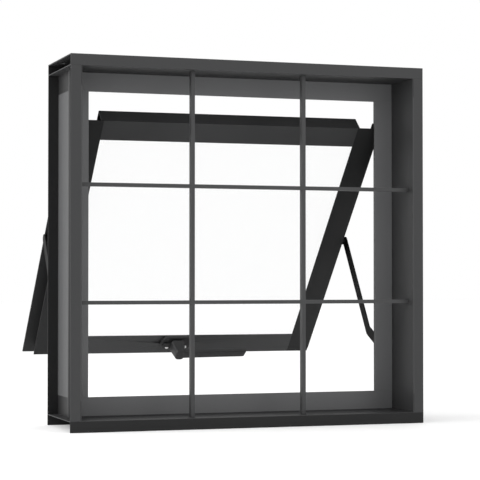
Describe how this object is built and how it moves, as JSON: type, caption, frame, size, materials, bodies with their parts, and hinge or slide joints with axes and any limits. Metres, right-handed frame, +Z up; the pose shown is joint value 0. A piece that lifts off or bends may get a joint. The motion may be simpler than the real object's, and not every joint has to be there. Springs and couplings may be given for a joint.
{
  "type": "top projecting window",
  "caption": "Top-hung aluminium window with outward-opening glazed sash, side stay arms, lever cam handle, deep box frame and flat-bar grille.",
  "frame": {"origin": "centre of the four anchor holes in the top face of the frame head", "axes": "+X to the right seen from the room, +Y outward through the window, +Z up"},
  "size_m": [0.6, 0.4726, 0.59],
  "materials": {
    "powder_coat": "aluminium with a matte dark graphite powder coat",
    "clear_glass": "clear",
    "black_rubber": "matte",
    "stay_steel": "black coated steel",
    "bright_steel": "satin",
    "block_plastic": "matte"
  },
  "bodies": {
    "frame": {"frame_corner_screws": "bright_steel", "frame_gasket": "black_rubber", "frame_head": "powder_coat", "frame_jamb_left": "powder_coat", "frame_jamb_right": "powder_coat", "frame_sill": "powder_coat", "grille_horizontal_lower": "powder_coat", "grille_horizontal_upper": "powder_coat", "grille_screws": "bright_steel", "grille_vertical_left": "powder_coat", "grille_vertical_right": "powder_coat"},
    "upper_slider_right": {"top_slider_right": "stay_steel", "top_pin_right": "stay_steel"},
    "arm_right": {"stay_arm_right": "stay_steel"},
    "lower_slider_right": {"foot_slider_right": "stay_steel", "foot_pin_right": "stay_steel"},
    "upper_slider_left": {"top_slider_left": "stay_steel", "top_pin_left": "stay_steel"},
    "arm_left": {"stay_arm_left": "stay_steel"},
    "lower_slider_left": {"foot_slider_left": "stay_steel", "foot_pin_left": "stay_steel"},
    "handle": {"handle_lever": "powder_coat", "handle_spindle": "bright_steel", "latch_tongue": "powder_coat", "spindle_nut": "bright_steel", "spring_washer": "bright_steel"},
    "sash": {"bracket_rivets_left": "bright_steel", "bracket_rivets_right": "bright_steel", "glass_pane": "clear_glass", "glazing_bead_bottom": "powder_coat", "glazing_bead_left": "powder_coat", "glazing_bead_right": "powder_coat", "glazing_bead_top": "powder_coat", "glazing_gasket_inner": "black_rubber", "glazing_gasket_outer": "black_rubber", "handle_base": "powder_coat", "handle_screws": "bright_steel", "pivot_bracket_left": "stay_steel", "pivot_bracket_right": "stay_steel", "sash_bottom_rail": "powder_coat", "sash_corner_screws": "bright_steel", "sash_stile_left": "powder_coat", "sash_stile_right": "powder_coat", "sash_top_rail": "powder_coat", "setting_blocks": "block_plastic", "stay_post_left": "stay_steel", "stay_post_right": "stay_steel"}
  },
  "joints": [
    {"name": "upper_slide_right", "type": "slide", "parent": "frame", "child": "upper_slider_right", "axis": [0, 0, 1], "range_m": [-0.005, 0.0598]},
    {"name": "sash_tilt", "type": "hinge", "parent": "upper_slider_right", "child": "sash", "pos_m": [0.279, 0.0245, -0.08924], "axis": [1, 0, 0], "range_deg": [-41.6, 3.4]},
    {"name": "upper_pivot_left", "type": "hinge", "parent": "sash", "child": "upper_slider_left", "pos_m": [-0.279, 0.0245, -0.08924], "axis": [1, 0, 0], "range_deg": [-3.5, 41.7]},
    {"name": "stay_hinge_right", "type": "hinge", "parent": "sash", "child": "arm_right", "pos_m": [0.279, 0.2053, -0.28309], "axis": [1, 0, 0], "range_deg": [-6.9, 83.3]},
    {"name": "lower_pivot_right", "type": "hinge", "parent": "arm_right", "child": "lower_slider_right", "pos_m": [0.279, 0.0245, -0.47694], "axis": [1, 0, 0], "range_deg": [-41.7, 3.5]},
    {"name": "stay_hinge_left", "type": "hinge", "parent": "sash", "child": "arm_left", "pos_m": [-0.279, 0.2053, -0.28309], "axis": [1, 0, 0], "range_deg": [-6.9, 83.3]},
    {"name": "lower_pivot_left", "type": "hinge", "parent": "arm_left", "child": "lower_slider_left", "pos_m": [-0.279, 0.0245, -0.47694], "axis": [1, 0, 0], "range_deg": [-41.7, 3.5]},
    {"name": "handle_turn", "type": "hinge", "parent": "sash", "child": "handle", "pos_m": [-0.002, 0.32685, -0.47873], "axis": [0, -0.7478, -0.6639], "range_deg": [0, 90]}
  ],
  "couplings": [
    {"joint": "upper_slide_right", "follows": "sash_tilt", "m_per_rad": -0.08228},
    {"joint": "upper_pivot_left", "follows": "sash_tilt", "ratio": -1},
    {"joint": "stay_hinge_right", "follows": "sash_tilt", "ratio": -2},
    {"joint": "lower_pivot_right", "follows": "sash_tilt", "ratio": 1},
    {"joint": "stay_hinge_left", "follows": "sash_tilt", "ratio": -2},
    {"joint": "lower_pivot_left", "follows": "sash_tilt", "ratio": 1}
  ]
}
